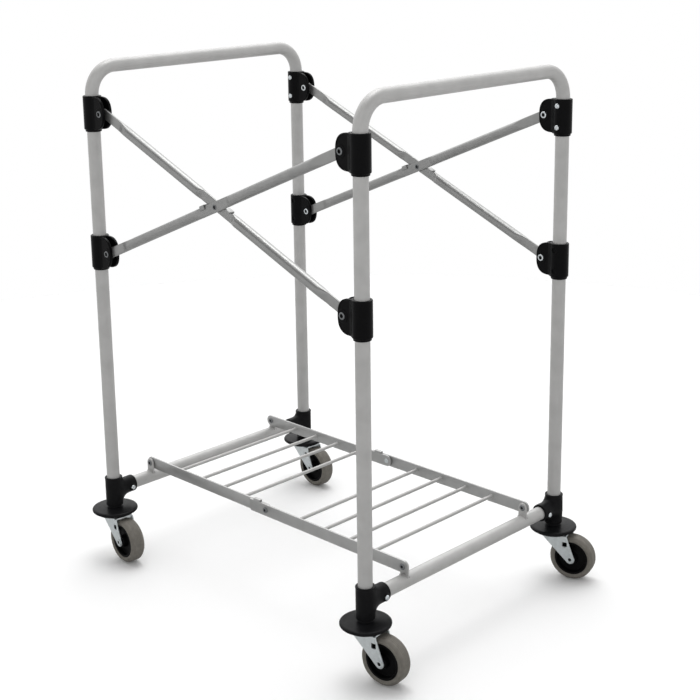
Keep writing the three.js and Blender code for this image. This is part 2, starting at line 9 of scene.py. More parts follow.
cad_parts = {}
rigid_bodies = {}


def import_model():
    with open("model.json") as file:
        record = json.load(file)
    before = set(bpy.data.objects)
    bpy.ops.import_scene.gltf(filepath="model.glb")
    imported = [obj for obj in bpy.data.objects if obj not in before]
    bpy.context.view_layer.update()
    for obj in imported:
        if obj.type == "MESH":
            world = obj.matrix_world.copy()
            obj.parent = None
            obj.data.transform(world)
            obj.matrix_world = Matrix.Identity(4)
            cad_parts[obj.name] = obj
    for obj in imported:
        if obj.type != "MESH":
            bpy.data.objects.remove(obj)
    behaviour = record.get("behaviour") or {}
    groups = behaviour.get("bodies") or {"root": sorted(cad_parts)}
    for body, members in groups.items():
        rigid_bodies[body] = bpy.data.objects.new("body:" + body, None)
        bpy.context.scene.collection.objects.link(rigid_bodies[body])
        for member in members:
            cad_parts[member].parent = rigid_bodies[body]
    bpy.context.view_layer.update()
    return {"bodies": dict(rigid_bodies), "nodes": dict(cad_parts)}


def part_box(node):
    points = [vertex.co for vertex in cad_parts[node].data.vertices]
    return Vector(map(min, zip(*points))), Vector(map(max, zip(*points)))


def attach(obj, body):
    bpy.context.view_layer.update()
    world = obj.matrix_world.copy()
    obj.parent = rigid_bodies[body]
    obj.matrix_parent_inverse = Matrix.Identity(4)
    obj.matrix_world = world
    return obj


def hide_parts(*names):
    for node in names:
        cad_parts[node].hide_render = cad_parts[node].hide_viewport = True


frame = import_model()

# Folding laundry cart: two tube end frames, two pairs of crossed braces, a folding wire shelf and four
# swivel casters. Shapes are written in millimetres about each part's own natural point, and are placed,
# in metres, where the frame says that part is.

MM = 0.001

# ---------------------------------------------------------------- dimensions, in millimetres

TUBE_R = 11.0
TUBE_WALL = 1.5
BEND_R = 45.0
BORE_R = 11.35                     # of what is pushed over a tube

CASTING_R = 14.5
CASTING_BOTTOM = 93.0
CASTING_TOP = 144.0
CASTING_FLOOR = 6.0
CASTING_ARM = 40.0
CROSS_Z = 121.0
CROSS_END = 15.0
CASTING_SCREW_Y = 30.0
CASTING_SCREW_Z = 119.0

BUMPER_R = 39.0
BUMPER_BOTTOM = 82.3
BUMPER_RIM = 6.2
BUMPER_SKIRT_R = 33.0
BUMPER_SKIRT = 3.2
BUMPER_HUB_R = 11.9

WHEEL_R = 37.5
WHEEL_HALF = 13.1
HUB_R = 28.2
HUB_BOSS_HALF = 14.5
TRAIL = 36.0
FORK_INNER = 15.0
FORK_PLATE = 2.5
FORK_TOP = 78.8
FORK_FRONT = -16.5
FORK_BACK = 22.0
FORK_EYE_R = 7.6
FORK_WINDOW = (26.2, 63.0)         # the middle of the square hole in each leg
FORK_WINDOW_HALF = 4.0
RACE_R = 21.5
STEM_R = 5.0
STEM_TOP = 128.0
AXLE_R = 4.0

CLAMP_R = 15.1
CLAMP_HALF = 27.5
COLLAR_R = 13.2
COLLAR = 3.5
PIN_X = 30.0
EAR_REACH = 39.5
EAR_HALF = 9.6
EAR_SLOT = 4.7
EAR_SQUARENESS = 2.6
EAR_TOP = 26.5
PANEL_DEPTH = 0.8                  # of the recess in an ear's outer face
CLAMP_SCREW_Z = 17.0
SCREW_SEAT = 15.3                  # from a casting's or clamp's own axis to under its screws' heads

# Tubular rivets: head radius and height, hollow radius and depth, and the radius out to which the shade in the
# hollow is painted in near-black steel.
PIN_R = 3.0
CLAMP_RIVET = (5.5, 1.7, 2.8, 3.6, 3.0)
CROSS_RIVET = (4.4, 0.8, 2.4, 0.7, 2.6)
LUG_RIVET = (5.2, 1.6, 1.9, 1.4, 2.2)
CENTRE_RIVET = (5.2, 1.6, 2.0, 1.4, 2.3)
TAIL_RIVET = (4.4, 1.2, 1.6, 1.0, 1.6)
# radius of the painted shade in the dished middle of each axle head
AXLE_PAINTED_SHADE_R = 3.0
HEAD_GAP = 0.1                     # under a rivet's head

BRACE_R = 8.0
BRACE_FLAT_HALF = 8.2
BRACE_FLAT = 4.0
BRACE_GAP = 0.2                    # from the braces' common plane to each brace
OUTER_PINCH = (27.0, 48.0)         # from the centre rivet: where the outer side swells from flat to round
INNER_PINCH = (35.0, 48.0)         # the same on the side toward the other brace
END_PINCH = (66.0, 40.0)           # from an end's pin: where the round stretch ends and the flat one begins
STOP_AT = 27.5
STOP_LENGTH = 11.0
STOP_RISE = 2.2
STOP_THICK = 2.0
STOP_FOOT = 3.0

BAR_HALF = 10.0
BAR_THICK = 3.0
LUG_GAP = 0.4
LUG_HALF = 8.0
BAR_OVERRUN = 38.0
SHELF_STOP = (14.0, 29.0)          # from the centre pin, along the right half's bars
STOP_SUNK = 0.15                   # of the stop's face into its bar's
WIRE_R = 2.9
WIRES_FROM_END = (68.0, 124.0, 180.0, 236.0)

PLASTIC_STEP = 0.8                 # between the points of a moulded part's surface
FORK_STEP = 0.75
SCREW_STEP = 0.24

CORNERS = [side + "_" + end for end in ("left", "right") for side in ("near", "far")]


# ---------------------------------------------------------------- places, from the frame

def middle(node):
    """The middle of a CAD node's box, in millimetres."""
    low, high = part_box(node)
    return (low + high) / 2 / MM


def is_far(corner):
    return corner.startswith("far")


def is_right(corner):
    return corner.endswith("right")


def frame_body(corner):
    return "frame_right" if is_right(corner) else "frame_left"


def place(x, y, z, turn=0.0, tilt=0.0, spin=0.0):
    """A matrix for a part at (x, y, z) mm: spun about Z, then tilted about Y, then turned about Z."""
    return (
        Matrix.Translation(Vector((x, y, z)) * MM)
        @ Matrix.Rotation(turn, 4, "Z")
        @ Matrix.Rotation(tilt, 4, "Y")
        @ Matrix.Rotation(spin, 4, "Z")
    )


# ---------------------------------------------------------------- mesh making

def mesh_of(name, points, faces, sharp=40):
    """A smooth-shaded mesh in metres from points in millimetres. Edges over sharp degrees stay crisp."""
    mesh = bpy.data.meshes.new(name)
    mesh.from_pydata((np.asarray(points, float) * MM).tolist(), [], faces)
    mesh.shade_smooth()
    mesh.set_sharp_from_angle(angle=math.radians(sharp))
    mesh.update()
    return mesh


def volume(points, faces):
    """Six times the signed volume inside the faces."""
    total = 0.0
    for face in faces:
        first = points[face[0]]
        for a, b in zip(face[1:-1], face[2:]):
            total += np.dot(first, np.cross(points[a], points[b]))
    return total


def loft(rings, closed=False):
    """Points and faces that join equal rings of points. An open loft is capped at both ends."""
    rings = np.asarray(rings, float)
    count, size = rings.shape[:2]
    points = rings.reshape(-1, 3)
    faces = []
    for i in range(count if closed else count - 1):
        here, there = i * size, (i + 1) % count * size
        for j in range(size):
            k = (j + 1) % size
            faces.append([here + j, here + k, there + k, there + j])
    if not closed:
        faces.append(list(range(size))[::-1])
        faces.append([(count - 1) * size + j for j in range(size)])
    if volume(points, faces) < 0:
        faces = [face[::-1] for face in faces]
    return points, faces


def joined(*parts):
    """Several sets of points and faces as one."""
    points, faces, start = [], [], 0
    for part_points, part_faces in parts:
        points.append(part_points)
        faces += [[start + i for i in face] for face in part_faces]
        start += len(part_points)
    return np.concatenate(points), faces


def softened(corners, radius, steps=3, closed=True):
    """A polyline with each corner cut back by up to radius and rounded."""
    corners = [np.asarray(c, float) for c in corners]
    count = len(corners)
    out = []
    for i, corner in enumerate(corners):
        if not closed and i in (0, count - 1):
            out.append(corner)
            continue
        before, after = corners[i - 1] - corner, corners[(i + 1) % count] - corner
        back = min(radius, 0.45 * np.linalg.norm(before))
        on = min(radius, 0.45 * np.linalg.norm(after))
        start = corner + before / np.linalg.norm(before) * back
        end = corner + after / np.linalg.norm(after) * on
        for step in range(steps + 1):
            t = step / steps
            out.append((1 - t) ** 2 * start + 2 * t * (1 - t) * corner + t * t * end)
    return np.array(out)


def arc(centre, radius, start, end, steps):
    """Points on an arc, with its angles in degrees."""
    angles = np.radians(np.linspace(start, end, steps + 1))
    return [(centre[0] + radius * math.cos(a), centre[1] + radius * math.sin(a)) for a in angles]


def turned(profile, sides=48, axis="Z"):
    """A body of revolution about Z or Y, from a profile of (radius, height) pairs that may touch the axis."""
    angles = np.linspace(0, 2 * math.pi, sides, endpoint=False)
    around = np.stack([np.cos(angles), np.sin(angles)], 1)
    profile = np.maximum(np.asarray(profile, float), [[0.02, -1e9]])
    rings = [np.column_stack([around * r, np.full(sides, h)]) for r, h in profile]
    hollow = min(r for r, _ in profile) > 0.5
    points, faces = loft(rings, closed=hollow)
    if axis == "Y":
        points = points[:, [0, 2, 1]] * [1, 1, -1]
    return points, faces


def outset(outline, distance):
    """A closed outline moved out along its own normals."""
    ahead = np.roll(outline, -1, axis=0) - outline
    ahead = ahead / np.linalg.norm(ahead, axis=1)[:, None]
    normal = np.stack([ahead[:, 1], -ahead[:, 0]], 1)
    mean = normal + np.roll(normal, 1, axis=0)
    mean = mean / np.maximum((mean * normal).sum(1), 0.3)[:, None]
    area = (outline[:, 0] * np.roll(outline[:, 1], -1) - np.roll(outline[:, 0], -1) * outline[:, 1]).sum()
    return outline + mean * distance * math.copysign(1, area)


def plate(outline, low, high, edge=0.4):
    """A plate with rolled edges. Its outline lies in the XZ plane, and it fills y = low to high."""
    outline = np.asarray(outline, float)
    steps = [(low, edge), (low + edge * 0.3, edge * 0.3), (low + edge, 0)]
    steps += [(high - edge, 0), (high - edge * 0.3, edge * 0.3), (high, edge)]
    rings = []
    for y, inset in steps:
        flat = outset(outline, -inset)
        rings.append(np.column_stack([flat[:, 0], np.full(len(flat), y), flat[:, 1]]))
    return loft(rings)


def swept(path, normal, sections):
    """Rings of 2-D section points carried along a path whose plane has the given normal."""
    path = np.asarray(path, float)
    normal = np.asarray(normal, float)
    ahead = np.gradient(path, axis=0)
    rings = []
    for point, tangent, section in zip(path, ahead, sections):
        across = np.cross(normal, tangent / np.linalg.norm(tangent))
        rings.append(point + section[:, :1] * normal + section[:, 1:] * across)
    return np.array(rings)


def circle(radius, sides):
    angles = np.linspace(0, 2 * math.pi, sides, endpoint=False)
    return np.stack([np.cos(angles), np.sin(angles)], 1) * radius


def pipe(path, normal, radius, wall, sides=40):
    """A hollow pipe along a path, open at both ends."""
    outer = swept(path, normal, [circle(radius, sides)] * len(path))
    inner = swept(path, normal, [circle(radius - wall, sides)] * len(path))
    return loft(np.concatenate([outer, inner[::-1]]), closed=True)


# ---------------------------------------------------------------- solids from distance fields

def soft_min(a, b, k):
    """The lesser of two distances, with a fillet of about k where they meet."""
    h = np.maximum(k - np.abs(a - b), 0) / k
    return np.minimum(a, b) - h * h * k / 4


def soft_max(a, b, k):
    return -soft_min(-a, -b, k)


def step_up(value, low, high):
    t = np.clip((value - low) / (high - low), 0, 1)
    return t * t * (3 - 2 * t)


def band(value, low, high):
    """Distance outside a slab."""
    return np.abs(value - (low + high) / 2) - (high - low) / 2


def outline_distance(x, z, outline):
    """Signed distance to a closed outline, negative inside."""
    best = np.full(len(x), 1e9)
    inside = np.zeros(len(x), bool)
    for (ax, az), (bx, bz) in zip(outline, np.roll(outline, -1, axis=0)):
        ex, ez = bx - ax, bz - az
        t = np.clip(((x - ax) * ex + (z - az) * ez) / (ex * ex + ez * ez), 0, 1)
        best = np.minimum(best, (x - ax - t * ex) ** 2 + (z - az - t * ez) ** 2)
        if az != bz:
            inside ^= ((az > z) != (bz > z)) & (x < ax + ex * (z - az) / ez)
    return np.where(inside, -1.0, 1.0) * np.sqrt(best)


def skin(field, low, high, step):
    """Points and quads on the surface where a field is zero (surface nets), drawn onto the field."""
    axes = [a + step * np.arange(int(math.ceil((b - a) / step)) + 1) for a, b in zip(low, high)]
    grid = np.stack(np.meshgrid(*axes, indexing="ij"), -1)
    value = field(grid.reshape(-1, 3)).reshape(grid.shape[:3])
    cells = tuple(n - 1 for n in value.shape)
    place_sum = np.zeros(cells + (3,))
    found = np.zeros(cells, int)
    for axis in range(3):
        for offsets in itertools.product((0, 1), repeat=2):
            start = np.insert(offsets, axis, 0)
            end = np.insert(offsets, axis, 1)
            a, b = (value[tuple(slice(o, o + n) for o, n in zip(c, cells))] for c in (start, end))
            cross = (a < 0) != (b < 0)
            t = a[cross] / (a[cross] - b[cross])
            place_sum[cross] += start + t[:, None] * (end - start)
            found += cross
    used = found > 0
    index = np.full(cells, -1)
    index[used] = np.arange(used.sum())
    points = (np.argwhere(used) + place_sum[used] / found[used][:, None]) * step + np.asarray(low)
    for _ in range(2):
        points = drawn_to_zero(points, field, step)
    faces = []
    inside = value < 0
    for axis in range(3):
        b, c = (axis + 1) % 3, (axis + 2) % 3
        here = [slice(1, n) for n in cells]
        here[axis] = slice(0, cells[axis])
        there = list(here)
        there[axis] = slice(1, cells[axis] + 1)
        first, second = inside[tuple(here)], inside[tuple(there)]
        for outward in (True, False):
            at = np.argwhere(first & ~second if outward else ~first & second)
            at[:, b] += 1
            at[:, c] += 1
            quad = []
            for db, dc in ((-1, -1), (0, -1), (0, 0), (-1, 0)):
                cell = at.copy()
                cell[:, b] += db
                cell[:, c] += dc
                quad.append(index[tuple(cell.T)])
            quad = np.stack(quad if outward else quad[::-1], 1)
            faces += quad.tolist()
    return points, faces


def drawn_to_zero(points, field, step):
    """Moves points onto the surface along the field's slope, by at most half a step."""
    reach = 0.05
    value = field(points)
    slope = np.empty_like(points)
    for axis in range(3):
        ahead = points.copy()
        ahead[:, axis] += reach
        slope[:, axis] = (field(ahead) - value) / reach
    size = np.maximum((slope ** 2).sum(1), 0.25)
    move = np.clip(value / size, -step / 2, step / 2)
    return points - slope * move[:, None]


def mirrored(solid, axis):
    points, faces = solid
    points = points.copy()
    points[:, axis] *= -1
    return points, [face[::-1] for face in faces]


def both_hands(name, solid, sharp=40):
    """Two meshes: the solid itself under False, and its mirror image in Y under True."""
    other = mesh_of(name + "_mirrored", *mirrored(solid, 1), sharp=sharp)
    return {False: mesh_of(name, *solid, sharp=sharp), True: other}


# ---------------------------------------------------------------- materials

def add_node(tree, kind, links=(), **settings):
    """A node with its inputs linked, and its other inputs and properties set by name."""
    made = tree.nodes.new(kind)
    for name, value in settings.items():
        if name in made.inputs:
            made.inputs[name].default_value = value
        else:
            setattr(made, name, value)
    for name, source in dict(links).items():
        tree.links.new(source, made.inputs[name])
    return made


class Finish:
    """A procedural material: a Principled surface with its textures in the piece's own space."""

    def __init__(self, name, color, metallic, roughness):
        self.material = bpy.data.materials.new(name)
        self.material.use_nodes = True
        self.tree = self.material.node_tree
        self.surface = next(n for n in self.tree.nodes if n.type == "BSDF_PRINCIPLED")
        self.set("Base Color", (*color, 1))
        self.set("Metallic", metallic)
        self.set("Roughness", roughness)
        self.place = self.tree.nodes.new("ShaderNodeTexCoord").outputs["Object"]
        self.normal = None

    def set(self, socket, value):
        self.surface.inputs[socket].default_value = value

    def node(self, kind, links=(), **settings):
        return add_node(self.tree, kind, links, **settings)

    def stretched(self, scale):
        return self.node("ShaderNodeMapping", {"Vector": self.place}, Scale=scale).outputs["Vector"]

    def noise(self, size, detail=3.0, roughness=0.55, stretch=(1, 1, 1)):
        """Noise with features of about size mm."""
        links = {"Vector": self.stretched(stretch)}
        settings = {"Scale": 1 / (size * MM), "Detail": detail, "Roughness": roughness}
        return self.node("ShaderNodeTexNoise", links, **settings).outputs["Fac"]

    def rings(self, size, direction="Y", distortion=0.0):
        """Fine lines round the piece's own axis, size mm apart."""
        made = self.node(
            "ShaderNodeTexWave",
            {"Vector": self.place},
            wave_type="RINGS",
            rings_direction=direction,
            Scale=0.314 / (size * MM),
            Distortion=distortion,
            Detail=1.0,
        )
        return made.outputs["Fac"]

    def spots(self, size):
        made = self.node("ShaderNodeTexVoronoi", {"Vector": self.place}, Scale=1 / (size * MM))
        return made.outputs["Distance"]

    def range(self, source, low, high, start=0.3, end=0.7):
        limits = {"From Min": start, "From Max": end, "To Min": low, "To Max": high}
        return self.node("ShaderNodeMapRange", {"Value": source}, **limits).outputs["Result"]

    def tint(self, source, dark, light, start=0.3, end=0.7):
        ramp = self.node("ShaderNodeValToRGB", {"Fac": source})
        ramp.color_ramp.elements[0].position = start
        ramp.color_ramp.elements[0].color = (*dark, 1)
        ramp.color_ramp.elements[1].position = end
        ramp.color_ramp.elements[1].color = (*light, 1)
        self.tree.links.new(ramp.outputs["Color"], self.surface.inputs["Base Color"])

    def gloss(self, source, low, high, start=0.3, end=0.7):
        self.tree.links.new(self.range(source, low, high, start, end), self.surface.inputs["Roughness"])

    def bump(self, source, depth, strength=1.0):
        """Relief of about depth mm."""
        links = {"Height": source}
        if self.normal is not None:
            links["Normal"] = self.normal
        made = self.node("ShaderNodeBump", links, Strength=strength, Distance=depth * MM)
        self.normal = made.outputs["Normal"]
        self.tree.links.new(self.normal, self.surface.inputs["Normal"])


PLASTIC_SPECULAR = 0.07            # of the black plastics, which reflect little


def shade(color, factor):
    return tuple(c * factor for c in color)


def powder_coat(name, color, metallic, roughness, peel=0.03, lacquer=0.12):
    """Silver-grey powder coat: orange peel, metal flake and slight clouding."""
    finish = Finish(name, color, metallic, roughness)
    cloud = finish.noise(28, detail=2)
    finish.tint(cloud, shade(color, 0.94), shade(color, 1.05))
    finish.gloss(finish.noise(9), roughness - 0.05, roughness + 0.06)
    finish.bump(finish.noise(1.9, detail=1.5), peel, 0.5)
    finish.bump(finish.spots(0.35), peel / 5, 0.3)
    finish.set("Coat Weight", lacquer)
    finish.set("Coat Roughness", 0.25)
    return finish.material


def moulded_plastic(name, color, roughness, grain):
    """Black moulded plastic with a fine spark-eroded grain."""
    finish = Finish(name, color, 0.0, roughness)
    finish.set("Specular IOR Level", PLASTIC_SPECULAR)
    finish.tint(finish.noise(12), shade(color, 0.8), shade(color, 1.25))
    finish.gloss(finish.noise(4), roughness - 0.06, roughness + 0.07)
    finish.bump(finish.noise(0.55, detail=2), grain, 0.5)
    finish.bump(finish.noise(7, detail=1), 0.03, 0.25)
    return finish.material


def zinc_plate(name, color, roughness):
    """Bright bluish zinc with faint clouding and rolling marks."""
    finish = Finish(name, color, 0.85, roughness)
    finish.tint(finish.noise(5, detail=4), shade(color, 0.9), shade(color, 1.04))
    finish.gloss(finish.noise(2.2), roughness - 0.07, roughness + 0.1)
    finish.bump(finish.noise(0.5, stretch=(1, 1, 6)), 0.012, 0.4)
    return finish.material


def tyre_rubber(name, color):
    """Matt grey rubber with fine moulding lines round the wheel."""
    finish = Finish(name, color, 0.0, 0.75)
    finish.tint(finish.noise(6, detail=4), shade(color, 0.86), shade(color, 1.12))
    finish.gloss(finish.noise(3), 0.68, 0.86)
    finish.bump(finish.rings(0.8, distortion=0.4), 0.05, 0.35)
    finish.bump(finish.noise(0.5), 0.04, 0.4)
    return finish.material


FRAME_COLOR = (0.475, 0.472, 0.464)
BRACE_COLOR = (0.32, 0.321, 0.317)
frame_coat = powder_coat("frame_coat", FRAME_COLOR, 0.15, 0.42)
brace_coat = powder_coat("brace_coat", BRACE_COLOR, 0.8, 0.37, peel=0.008, lacquer=0.0)
# The shelf bars' coat is the brace coat painted a third lighter: the lighter tone stands in for how the light
# falls on the flat bars, not for a paler paint.
bar_coat_painted_lighter = powder_coat("bar_coat_painted_lighter", shade(BRACE_COLOR, 1.33), 0.75, 0.4, peel=0.01, lacquer=0.0)
wire_coat = powder_coat("wire_coat", shade(FRAME_COLOR, 1.02), 0.2, 0.4, peel=0.01, lacquer=0.05)
weld_coat = powder_coat("weld_coat", shade(FRAME_COLOR, 0.9), 0.15, 0.45)
clamp_plastic = moulded_plastic("clamp_plastic", (0.0026, 0.0026, 0.0029), 0.32, 0.03)
foot_plastic = moulded_plastic("foot_plastic", (0.0075, 0.0075, 0.0082), 0.36, 0.03)
bumper_plastic = moulded_plastic("bumper_plastic", (0.0085, 0.0085, 0.0094), 0.34, 0.02)
hub_plastic = moulded_plastic("hub_plastic", (0.0028, 0.0028, 0.003), 0.34, 0.02)
zinc = zinc_plate("zinc", (0.66, 0.70, 0.71), 0.34)
bright_zinc = zinc_plate("bright_zinc", (0.72, 0.76, 0.78), 0.26)
dull_zinc = zinc_plate("dull_zinc", (0.22, 0.228, 0.235), 0.38)
# near-black steel that paints the shade into the rivets' and the axle's hollows
painted_hollow_shade = zinc_plate("painted_hollow_shade", (0.022, 0.022, 0.023), 0.45)
tyre_grey = tyre_rubber("tyre_grey", (0.175, 0.163, 0.142))


# ---------------------------------------------------------------- pieces

def piece(name, mesh, material, body, matrix=None, replaces=()):
    """Puts a mesh in the scene at its place, and lets it move with a body."""
    if not mesh.materials:
        mesh.materials.append(material)
    made = bpy.data.objects.new(name, mesh)
    bpy.context.scene.collection.objects.link(made)
    made.matrix_world = matrix if matrix is not None else Matrix.Identity(4)
    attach(made, body)
    if replaces:
        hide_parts(*replaces)
    return made


# ---------------------------------------------------------------- end frames

def leg_path(half, foot, top):
    """Up one leg, over the handle and down the other, in the YZ plane."""
    path = [(-half, foot)]
    path += arc((-half + BEND_R, top - BEND_R), BEND_R, 180, 90, 28)
    path += arc((half - BEND_R, top - BEND_R), BEND_R, 90, 0, 28)
    path.append((half, foot))
    straight = []
    for (y0, z0), (y1, z1) in zip(path, path[1:]):
        parts = max(1, int(math.hypot(y1 - y0, z1 - z0) / 30))
        straight += [(0, y0 + (y1 - y0) * i / parts, z0 + (z1 - z0) * i / parts) for i in range(parts)]
    straight.append((0, *path[-1]))
    return straight


def lug_outline(rise):
    """A lug's outline from the middle of its tube to the round top about its pin."""
    return [(LUG_HALF, 2)] + arc((0, rise), LUG_HALF, 0, 180, 24) + [(-LUG_HALF, 2)]


def weld_bead(y):
    """The ripple of weld where a lug's face meets its tube."""
    steps = 40
    path, sizes = [], []
    for i in range(steps + 1):
        angle = math.radians(90 + 50 * (2 * i / steps - 1))
        path.append((TUBE_R * math.cos(angle), y, TUBE_R * math.sin(angle)))
        fade = min(1.0, i / 3 + 0.35, (steps - i) / 3 + 0.35)
        sizes.append((1.45 + 0.16 * math.sin(i * 2.1) + 0.05 * math.sin(i * 5.3)) * fade)
    return loft(swept(path, (0, 1, 0), [circle(r, 12) for r in sizes]))


def build_end_frame(end):
    body = "frame_" + end
    x, _, _ = middle("bumper_near_" + end)
    half = middle("bumper_far_" + end).y
    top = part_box("end_frame_tube_" + end)[1].z / MM - TUBE_R
    foot = CASTING_BOTTOM + CASTING_FLOOR + 0.3
    tube = pipe(leg_path(half, foot, top), (1, 0, 0), TUBE_R, TUBE_WALL, 48)
    piece(
        "frame_tube_" + end, mesh_of("frame_tube", *tube), frame_coat, body,
        place(x, 0, 0), ["end_frame_tube_" + end],
    )
    reach = half - CROSS_END
    path = [(0, y, 0) for y in np.linspace(-reach, reach, 17)]
    cross = pipe(path, (1, 0, 0), TUBE_R, TUBE_WALL, 48)
    piece(
        "cross_rail_" + end, mesh_of("cross_rail", *cross), frame_coat, body,
        place(x, 0, CROSS_Z), ["cross_tube_" + end],
    )
    rise = middle("shelf_end_pin_near_" + end).z - CROSS_Z
    for side in ("near", "far"):
        y = lug_y(side, end)
        lug = plate(lug_outline(rise), -BAR_THICK / 2, BAR_THICK / 2, 0.5)
        piece(
            "shelf_lug_%s_%s" % (side, end), mesh_of("shelf_lug", *lug), frame_coat, body,
            place(x, y, CROSS_Z),
        )
        beads = joined(*(weld_bead(face * (BAR_THICK / 2 + 0.5)) for face in (-1, 1)))
        piece(
            "lug_weld_%s_%s" % (side, end), mesh_of("lug_weld", *beads), weld_coat, body,
            place(x, y, CROSS_Z),
        )


def bar_y(side, end):
    """The middle of a shelf bar's thickness."""
    low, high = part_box("shelf_half_" + end)
    return low.y / MM + BAR_THICK / 2 if side == "near" else high.y / MM - BAR_THICK / 2


def lug_y(side, end):
    outward = -1 if side == "near" else 1
    step = BAR_THICK + LUG_GAP
    return bar_y(side, end) + outward * (step if end == "left" else -step)


# ---------------------------------------------------------------- clamps

def ear_outline():
    """The D of a clamp's ears: half a superellipse on the round side, square into the sleeve."""
    out = [(0.0, -EAR_TOP)]
    reach = EAR_REACH - CLAMP_R
    power = 2 / EAR_SQUARENESS
    for angle in np.linspace(-math.pi / 2, math.pi / 2, 61):
        across = abs(math.cos(angle)) ** power
        up = math.copysign(abs(math.sin(angle)) ** power, math.sin(angle))
        out.append((CLAMP_R + reach * across, EAR_TOP * up))
    out.append((0.0, EAR_TOP))
    return np.array(out)


EAR = ear_outline()


def clamp_field(level):
    """A clamp with its bore on Z, its ears toward +X, its pin at z = 0 and its screws toward +Y."""

    def field(p):
        x, y, z = p.T
        out = np.hypot(x, y)
        sleeve = soft_max(out - CLAMP_R, np.abs(z) - CLAMP_HALF, 1.6)
        collar = soft_max(out - COLLAR_R, band(z, -CLAMP_HALF - COLLAR, 0), 1.0)
        ear = outline_distance(x, z, EAR)
        from_pin = np.hypot(x - PIN_X, z)
        panel = step_up(-ear, 1.9, 2.7) * step_up(from_pin, 9.4, 10.2) * step_up(x, 13.5, 16.5)
        face = np.abs(y) - EAR_HALF + PANEL_DEPTH * panel
        body = soft_min(sleeve, soft_max(ear, face, 1.2), 2.4)
        body = soft_min(body, collar, 0.8)
        slot = soft_max(np.abs(y) - EAR_SLOT, CLAMP_R + 0.8 - x, 1.2)
        body = soft_max(body, -slot, 0.9)
        for height in (-CLAMP_SCREW_Z, CLAMP_SCREW_Z):
            near_screw = np.hypot(x, z - height)
            if level == "upper":
                seat = soft_max(near_screw - 5.6, np.abs(y - 10) - 5.25, 0.8)
                body = soft_min(body, seat, 1.6)
            else:
                body = soft_max(body, -np.maximum(near_screw - 3.9, 13.0 - y), 0.7)
        body = np.maximum(body, BORE_R - out)
        return np.maximum(body, PIN_R + 0.15 - from_pin)

    return field


def rivet_half(size, low):
    """From the hole's floor to the shank under one head of a tubular rivet, head up at z = low."""
    head_r, head, hole_r, depth, _ = size
    top = low + head
    return softened(
        [
            (0, top - depth), (hole_r, top - depth), (hole_r + 0.25, top - 0.4),
            (hole_r + 0.9, top), (head_r - 1.0, top), (head_r, top - head * 0.55), (head_r, low),
            (PIN_R, low),
        ],
        0.5, 3, closed=False,
    )


def rivet(size, half, one_sided=None):
    """A tubular rivet along Y, its heads' undersides half from its middle. Its lower end may be flush."""
    upper = rivet_half(size, half)
    if one_sided is None:
        lower = upper[::-1] * [1, -1]
    else:
        lower = np.array([(PIN_R, one_sided), (PIN_R - 0.15, one_sided - 0.15), (0, one_sided - 0.15)])
    return turned(np.concatenate([upper, lower]), 40, "Y")


def metals(mesh, painted_shade_r, metal, outer_metal=None):
    """Gives a rivet along Y its metal, painted shade in near-black steel over its hollow, and another metal on
    its head toward -Y.
    """
    for material in (metal, painted_hollow_shade, outer_metal or metal):
        mesh.materials.append(material)
    for polygon in mesh.polygons:
        x, y, z = polygon.center / MM
        # painted shade: faces about the hollow take the near-black steel
        if math.hypot(x, z) < painted_shade_r:
            polygon.material_index = 1
        elif y < -EAR_HALF:
            polygon.material_index = 2
    return mesh


def screw_field(p):
    """A pan-head screw that stands on z = 0, with a slot across it."""
    x, y, z = p.T
    dome = np.sqrt(x ** 2 + y ** 2 + (z + 3.1) ** 2) - 5.5
    side = np.hypot(x, y) - 4.2
    head = soft_max(soft_max(dome, side, 0.7), -z - 0.8, 0.2)
    slot = np.maximum(np.abs(x) - 0.55, 1.35 - z)
    return soft_max(head, -slot, 0.25)


screw_skin = skin(screw_field, (-4.8, -4.8, -1.2), (4.8, 4.8, 3), SCREW_STEP)
screw_mesh = mesh_of("pan_screw", *screw_skin, sharp=55)


def add_screw(name, point, direction, twist, body):
    """A screw at a point in mm, its head facing along a world direction."""
    turn = Vector(direction).to_track_quat("Z", "Y").to_matrix().to_4x4()
    matrix = Matrix.Translation(Vector(point) * MM) @ turn @ Matrix.Rotation(twist, 4, "Z")
    piece(name, screw_mesh, bright_zinc, body, matrix)


def build_clamps():
    low, high = (-16.5, -16.5, -32), (40.5, 16.5, 28.5)
    pin = mesh_of("clamp_rivet", *rivet(CLAMP_RIVET, EAR_HALF + HEAD_GAP))
    metals(pin, CLAMP_RIVET[-1], bright_zinc, dull_zinc)
    for level in ("upper", "lower"):
        solid = skin(clamp_field(level), low, high, PLASTIC_STEP)
        meshes = both_hands(level + "_clamp", solid, 60)
        for number, corner in enumerate(CORNERS):
            outward = 1 if is_right(corner) else -1
            x, y, _ = middle("bumper_" + corner)
            pin_at = middle("%s_clamp_pin_%s" % (level, corner))
            body = frame_body(corner) if level == "upper" else "slider_" + corner
            piece(
                "%s_clamp_shell_%s" % (level, corner), meshes[is_far(corner) != is_right(corner)],
                clamp_plastic, body,
                place(x, y, pin_at.z, math.pi if is_right(corner) else 0),
                ["%s_clamp_%s" % (level, corner)],
            )
            piece(
                "%s_clamp_rivet_%s" % (level, corner), pin, bright_zinc, body,
                place(x - outward * PIN_X, y, pin_at.z, math.pi if is_far(corner) else 0),
                ["%s_clamp_pin_%s" % (level, corner)],
            )
            if level == "upper":
                inward = -1 if is_far(corner) else 1
                for name, height in (("top", CLAMP_SCREW_Z), ("bottom", -CLAMP_SCREW_Z)):
                    add_screw(
                        "clamp_screw_%s_%s" % (name, corner),
                        (x, y + inward * SCREW_SEAT, pin_at.z + height), (0, inward, 0),
                        1.1 + 0.5 * number + height * 0.02, body,
                    )


# ---------------------------------------------------------------- corner castings

